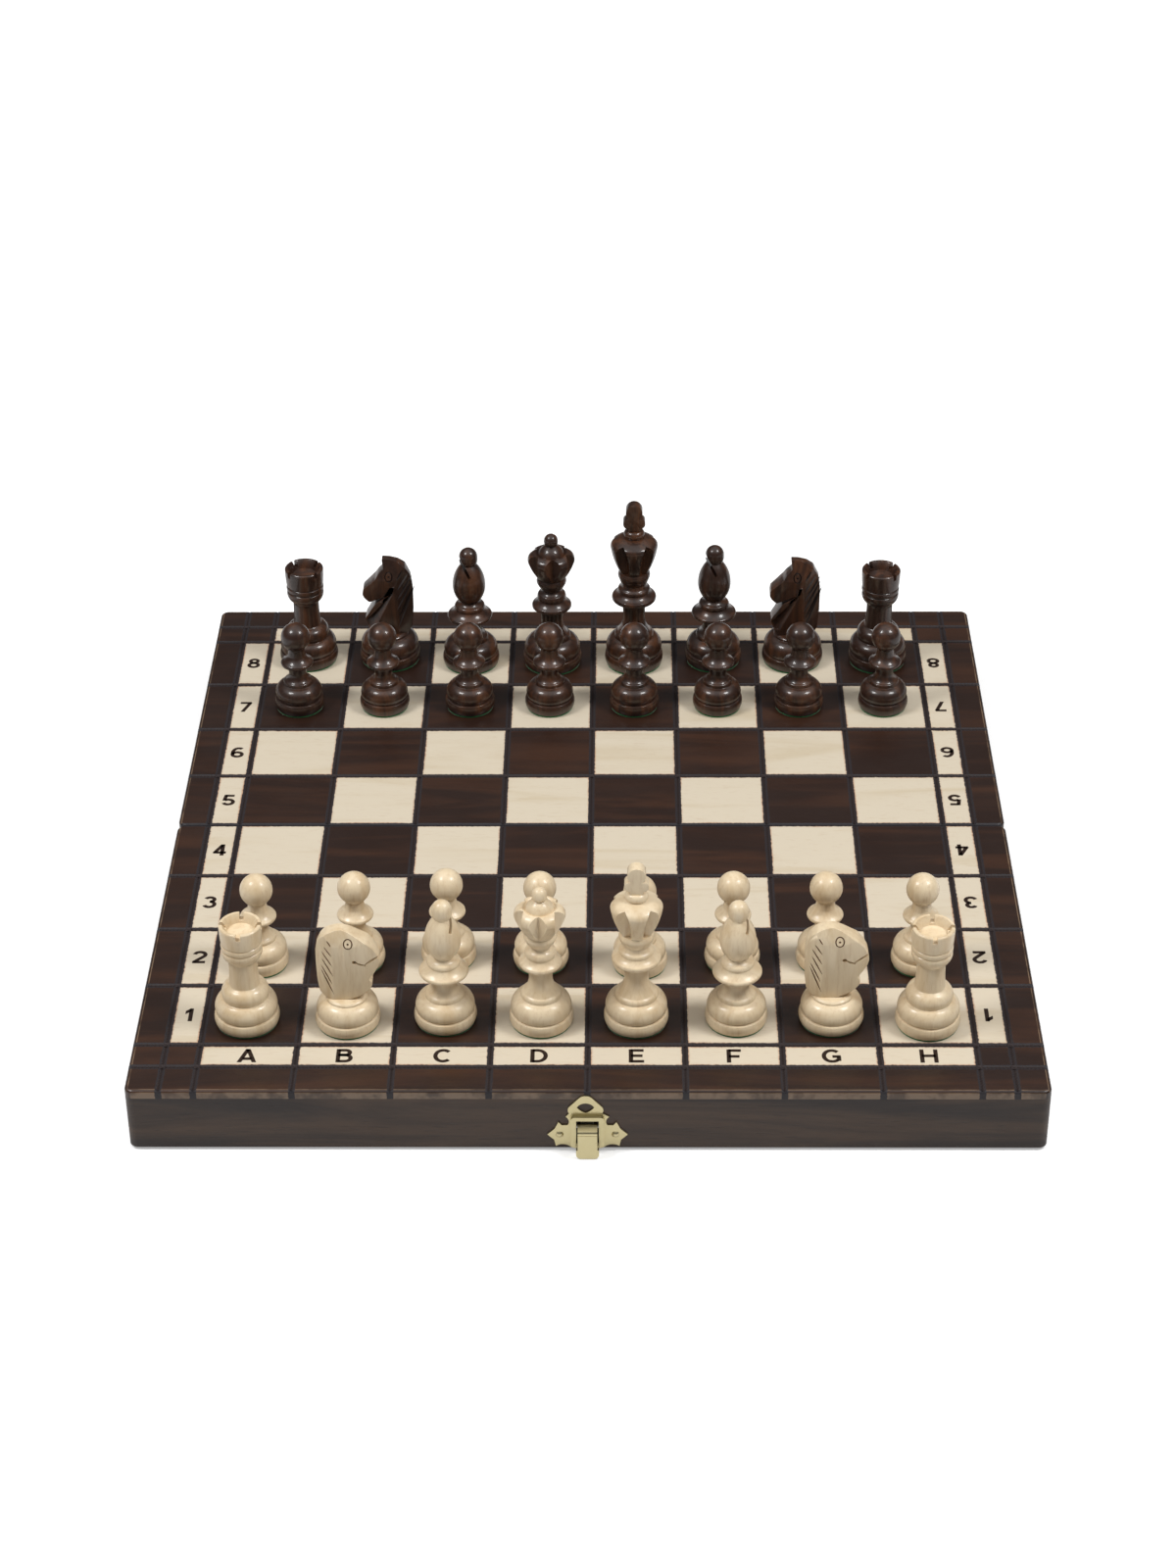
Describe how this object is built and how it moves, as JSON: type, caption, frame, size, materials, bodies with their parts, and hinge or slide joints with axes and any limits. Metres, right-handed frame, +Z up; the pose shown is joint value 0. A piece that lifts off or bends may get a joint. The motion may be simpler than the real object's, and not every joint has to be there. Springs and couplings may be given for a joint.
{
  "type": "folding chess set",
  "caption": "Chess board made as a shallow wooden box in two hinged halves with a sprung clasp, set up with turned and carved wooden pieces.",
  "frame": {"origin": "under the middle of the seam between the two halves, at the lowest point of the hinge knuckles", "axes": "+X to the right of the white player (the H file), +Y away from the white player, +Z up out of the board"},
  "size_m": [0.3528, 0.3667, 0.1115],
  "materials": {
    "board_surface": "satin",
    "case_wood": "satin",
    "light_piece_wood": "gloss",
    "dark_piece_wood": "gloss",
    "clasp_brass": "polished",
    "pin_steel": "satin"
  },
  "bodies": {
    "front_case": {"clasp_nails": "clasp_brass", "clasp_pin": "pin_steel", "clasp_plate": "clasp_brass", "clasp_spring": "pin_steel", "front_hinge_screws": "clasp_brass", "front_left_wall": "case_wood", "front_outer_wall": "case_wood", "front_right_wall": "case_wood", "front_seam_wall": "case_wood", "front_top_panel": "board_surface", "left_hinge_front_leaf": "clasp_brass", "left_hinge_pin": "pin_steel", "right_hinge_front_leaf": "clasp_brass", "right_hinge_pin": "pin_steel"},
    "rear_case": {"keeper_nails": "clasp_brass", "keeper_plate": "clasp_brass", "left_hinge_rear_leaf": "clasp_brass", "rear_hinge_screws": "clasp_brass", "rear_left_wall": "case_wood", "rear_outer_wall": "case_wood", "rear_right_wall": "case_wood", "rear_seam_wall": "case_wood", "rear_top_panel": "board_surface", "right_hinge_rear_leaf": "clasp_brass"},
    "lever": {"clasp_lever": "clasp_brass"},
    "white_bishop_c": {"white_bishop_c": "light_piece_wood"},
    "white_bishop_f": {"white_bishop_f": "light_piece_wood"},
    "white_king": {"white_king": "light_piece_wood"},
    "white_knight_b": {"white_knight_b": "light_piece_wood"},
    "white_knight_g": {"white_knight_g": "light_piece_wood"},
    "white_pawn_a": {"white_pawn_a": "light_piece_wood"},
    "white_pawn_b": {"white_pawn_b": "light_piece_wood"},
    "white_pawn_c": {"white_pawn_c": "light_piece_wood"},
    "white_pawn_d": {"white_pawn_d": "light_piece_wood"},
    "white_pawn_e": {"white_pawn_e": "light_piece_wood"},
    "white_pawn_f": {"white_pawn_f": "light_piece_wood"},
    "white_pawn_g": {"white_pawn_g": "light_piece_wood"},
    "white_pawn_h": {"white_pawn_h": "light_piece_wood"},
    "white_queen": {"white_queen": "light_piece_wood"},
    "white_rook_a": {"white_rook_a": "light_piece_wood"},
    "white_rook_h": {"white_rook_h": "light_piece_wood"},
    "black_bishop_c": {"black_bishop_c": "dark_piece_wood"},
    "black_bishop_f": {"black_bishop_f": "dark_piece_wood"},
    "black_king": {"black_king": "dark_piece_wood"},
    "black_knight_b": {"black_knight_b": "dark_piece_wood"},
    "black_knight_g": {"black_knight_g": "dark_piece_wood"},
    "black_pawn_a": {"black_pawn_a": "dark_piece_wood"},
    "black_pawn_b": {"black_pawn_b": "dark_piece_wood"},
    "black_pawn_c": {"black_pawn_c": "dark_piece_wood"},
    "black_pawn_d": {"black_pawn_d": "dark_piece_wood"},
    "black_pawn_e": {"black_pawn_e": "dark_piece_wood"},
    "black_pawn_f": {"black_pawn_f": "dark_piece_wood"},
    "black_pawn_g": {"black_pawn_g": "dark_piece_wood"},
    "black_pawn_h": {"black_pawn_h": "dark_piece_wood"},
    "black_queen": {"black_queen": "dark_piece_wood"},
    "black_rook_a": {"black_rook_a": "dark_piece_wood"},
    "black_rook_h": {"black_rook_h": "dark_piece_wood"}
  },
  "joints": [
    {"name": "fold", "type": "hinge", "parent": "front_case", "child": "rear_case", "pos_m": [0, 0, 0.00125], "axis": [-1, 0, 0], "range_deg": [0, 180]},
    {"name": "lever_swing", "type": "hinge", "parent": "front_case", "child": "lever", "pos_m": [0, -0.1798, 0.01285], "axis": [-1, 0, 0], "range_deg": [0, 35], "stiffness_Nm_per_rad": 0.02, "springref_deg": -57.3},
    {"name": "white_bishop_c_lift", "type": "slide", "parent": "front_case", "child": "white_bishop_c", "axis": [0, 0, 1], "range_m": [0, 0.09]},
    {"name": "white_bishop_f_lift", "type": "slide", "parent": "front_case", "child": "white_bishop_f", "axis": [0, 0, 1], "range_m": [0, 0.09]},
    {"name": "white_king_lift", "type": "slide", "parent": "front_case", "child": "white_king", "axis": [0, 0, 1], "range_m": [0, 0.09]},
    {"name": "white_knight_b_lift", "type": "slide", "parent": "front_case", "child": "white_knight_b", "axis": [0, 0, 1], "range_m": [0, 0.09]},
    {"name": "white_knight_g_lift", "type": "slide", "parent": "front_case", "child": "white_knight_g", "axis": [0, 0, 1], "range_m": [0, 0.09]},
    {"name": "white_pawn_a_lift", "type": "slide", "parent": "front_case", "child": "white_pawn_a", "axis": [0, 0, 1], "range_m": [0, 0.09]},
    {"name": "white_pawn_b_lift", "type": "slide", "parent": "front_case", "child": "white_pawn_b", "axis": [0, 0, 1], "range_m": [0, 0.09]},
    {"name": "white_pawn_c_lift", "type": "slide", "parent": "front_case", "child": "white_pawn_c", "axis": [0, 0, 1], "range_m": [0, 0.09]},
    {"name": "white_pawn_d_lift", "type": "slide", "parent": "front_case", "child": "white_pawn_d", "axis": [0, 0, 1], "range_m": [0, 0.09]},
    {"name": "white_pawn_e_lift", "type": "slide", "parent": "front_case", "child": "white_pawn_e", "axis": [0, 0, 1], "range_m": [0, 0.09]},
    {"name": "white_pawn_f_lift", "type": "slide", "parent": "front_case", "child": "white_pawn_f", "axis": [0, 0, 1], "range_m": [0, 0.09]},
    {"name": "white_pawn_g_lift", "type": "slide", "parent": "front_case", "child": "white_pawn_g", "axis": [0, 0, 1], "range_m": [0, 0.09]},
    {"name": "white_pawn_h_lift", "type": "slide", "parent": "front_case", "child": "white_pawn_h", "axis": [0, 0, 1], "range_m": [0, 0.09]},
    {"name": "white_queen_lift", "type": "slide", "parent": "front_case", "child": "white_queen", "axis": [0, 0, 1], "range_m": [0, 0.09]},
    {"name": "white_rook_a_lift", "type": "slide", "parent": "front_case", "child": "white_rook_a", "axis": [0, 0, 1], "range_m": [0, 0.09]},
    {"name": "white_rook_h_lift", "type": "slide", "parent": "front_case", "child": "white_rook_h", "axis": [0, 0, 1], "range_m": [0, 0.09]},
    {"name": "black_bishop_c_lift", "type": "slide", "parent": "rear_case", "child": "black_bishop_c", "axis": [0, 0, 1], "range_m": [0, 0.09]},
    {"name": "black_bishop_f_lift", "type": "slide", "parent": "rear_case", "child": "black_bishop_f", "axis": [0, 0, 1], "range_m": [0, 0.09]},
    {"name": "black_king_lift", "type": "slide", "parent": "rear_case", "child": "black_king", "axis": [0, 0, 1], "range_m": [0, 0.09]},
    {"name": "black_knight_b_lift", "type": "slide", "parent": "rear_case", "child": "black_knight_b", "axis": [0, 0, 1], "range_m": [0, 0.09]},
    {"name": "black_knight_g_lift", "type": "slide", "parent": "rear_case", "child": "black_knight_g", "axis": [0, 0, 1], "range_m": [0, 0.09]},
    {"name": "black_pawn_a_lift", "type": "slide", "parent": "rear_case", "child": "black_pawn_a", "axis": [0, 0, 1], "range_m": [0, 0.09]},
    {"name": "black_pawn_b_lift", "type": "slide", "parent": "rear_case", "child": "black_pawn_b", "axis": [0, 0, 1], "range_m": [0, 0.09]},
    {"name": "black_pawn_c_lift", "type": "slide", "parent": "rear_case", "child": "black_pawn_c", "axis": [0, 0, 1], "range_m": [0, 0.09]},
    {"name": "black_pawn_d_lift", "type": "slide", "parent": "rear_case", "child": "black_pawn_d", "axis": [0, 0, 1], "range_m": [0, 0.09]},
    {"name": "black_pawn_e_lift", "type": "slide", "parent": "rear_case", "child": "black_pawn_e", "axis": [0, 0, 1], "range_m": [0, 0.09]},
    {"name": "black_pawn_f_lift", "type": "slide", "parent": "rear_case", "child": "black_pawn_f", "axis": [0, 0, 1], "range_m": [0, 0.09]},
    {"name": "black_pawn_g_lift", "type": "slide", "parent": "rear_case", "child": "black_pawn_g", "axis": [0, 0, 1], "range_m": [0, 0.09]},
    {"name": "black_pawn_h_lift", "type": "slide", "parent": "rear_case", "child": "black_pawn_h", "axis": [0, 0, 1], "range_m": [0, 0.09]},
    {"name": "black_queen_lift", "type": "slide", "parent": "rear_case", "child": "black_queen", "axis": [0, 0, 1], "range_m": [0, 0.09]},
    {"name": "black_rook_a_lift", "type": "slide", "parent": "rear_case", "child": "black_rook_a", "axis": [0, 0, 1], "range_m": [0, 0.09]},
    {"name": "black_rook_h_lift", "type": "slide", "parent": "rear_case", "child": "black_rook_h", "axis": [0, 0, 1], "range_m": [0, 0.09]}
  ]
}
